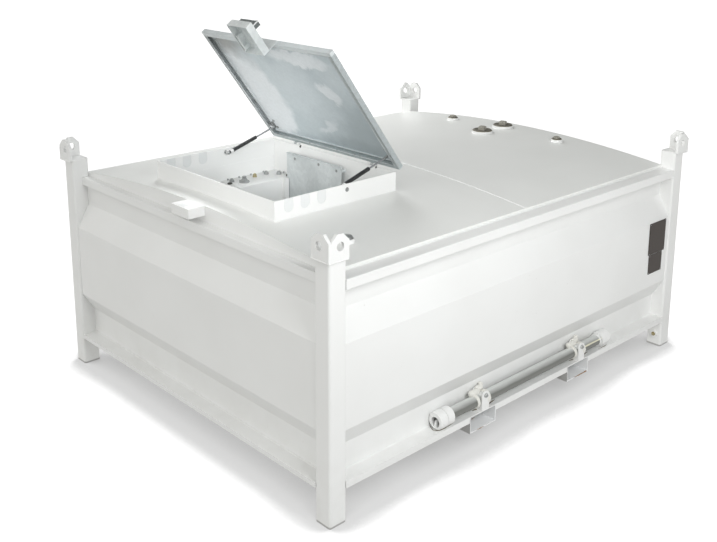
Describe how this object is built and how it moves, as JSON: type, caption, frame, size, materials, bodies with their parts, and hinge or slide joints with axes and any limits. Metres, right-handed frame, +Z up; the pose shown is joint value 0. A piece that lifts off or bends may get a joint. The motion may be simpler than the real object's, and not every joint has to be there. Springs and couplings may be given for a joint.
{
  "type": "transportable bunded fuel tank",
  "caption": "Low wide white steel fuel tank on four lifting posts, with folded walls, cambered roof, fork pockets, open galvanised hatch lid on gas struts and a side pipe.",
  "frame": {"origin": "on the ground under the middle of the tank's footprint", "axes": "+Z up, +X along the long side away from the hatch end, +Y away from the side with the pipe"},
  "size_m": [2.9326, 2.3926, 2.1538],
  "materials": {
    "white_paint": "semi-gloss white enamel on steel plate",
    "galvanised": "hot-dip galvanised, cloudy spangle",
    "strut_black": "black enamel gas strut tube",
    "bright_rod": "polished piston rod",
    "dark_plate": "dark brown blank plate"
  },
  "bodies": {
    "root": {"base_sheet": "white_paint", "data_plate_lower": "dark_plate", "data_plate_upper": "dark_plate", "earth_boss": "white_paint", "fittings_shelf": "white_paint", "fork_pocket_left": "white_paint", "fork_pocket_right": "white_paint", "hatch_wall_back": "white_paint", "hatch_wall_front": "white_paint", "hatch_wall_left": "white_paint", "hatch_wall_right": "white_paint", "hinge_leaf_back": "white_paint", "hinge_leaf_front": "white_paint", "inner_panel": "galvanised", "latch_bracket": "white_paint", "lifting_lug_back_left": "white_paint", "lifting_lug_back_right": "white_paint", "lifting_lug_front_left": "white_paint", "lifting_lug_front_right": "white_paint", "low_rail_back": "white_paint", "low_rail_front": "white_paint", "low_rail_left": "white_paint", "low_rail_right": "white_paint", "pipe_cap": "white_paint", "pipe_fitting": "white_paint", "pipe_saddle_left": "white_paint", "pipe_saddle_right": "white_paint", "post_back_left": "white_paint", "post_back_right": "white_paint", "post_front_left": "white_paint", "post_front_right": "white_paint", "roof_end_left": "white_paint", "roof_end_right": "white_paint", "roof_left": "white_paint", "roof_plug_corner": "white_paint", "roof_plug_large_left": "white_paint", "roof_plug_large_right": "white_paint", "roof_plug_small_back": "white_paint", "roof_plug_small_front": "white_paint", "roof_right": "white_paint", "side_pipe": "galvanised", "top_rail_back": "white_paint", "top_rail_front": "white_paint", "top_rail_left": "white_paint", "top_rail_right": "white_paint", "wall_back": "white_paint", "wall_front": "white_paint", "wall_left": "white_paint", "wall_right": "white_paint", "well_floor": "white_paint"},
    "lid": {"lid": "galvanised", "lock_box": "galvanised", "lid_hinge_front": "galvanised", "lid_hinge_back": "galvanised"},
    "strut_front_cylinder": {"strut_cylinder_front": "strut_black"},
    "strut_front_rod": {"strut_rod_front": "bright_rod"},
    "strut_back_cylinder": {"strut_cylinder_back": "strut_black"},
    "strut_back_rod": {"strut_rod_back": "bright_rod"}
  },
  "joints": [
    {"name": "lid_hinge", "type": "hinge", "parent": "root", "child": "lid", "pos_m": [-0.392, 0, 1.345], "axis": [0, 1, 0], "range_deg": [-53.5, 0]},
    {"name": "strut_front_pivot", "type": "hinge", "parent": "root", "child": "strut_front_cylinder", "pos_m": [-0.77, -0.489, 1.32], "axis": [0, 1, 0], "range_deg": [0, 10.1]},
    {"name": "strut_front_slide", "type": "slide", "parent": "strut_front_cylinder", "child": "strut_front_rod", "axis": [0.954, 0, 0.2999], "range_m": [-0.0603, 0]},
    {"name": "strut_back_pivot", "type": "hinge", "parent": "root", "child": "strut_back_cylinder", "pos_m": [-0.77, 0.489, 1.32], "axis": [0, 1, 0], "range_deg": [0, 10.1]},
    {"name": "strut_back_slide", "type": "slide", "parent": "strut_back_cylinder", "child": "strut_back_rod", "axis": [0.954, 0, 0.2999], "range_m": [-0.0603, 0]}
  ],
  "couplings": [
    {"joint": "strut_front_pivot", "follows": "lid_hinge", "ratio": -0.18834},
    {"joint": "strut_front_slide", "follows": "lid_hinge", "m_per_rad": 0.064469},
    {"joint": "strut_back_pivot", "follows": "lid_hinge", "ratio": -0.18834},
    {"joint": "strut_back_slide", "follows": "lid_hinge", "m_per_rad": 0.064469}
  ]
}
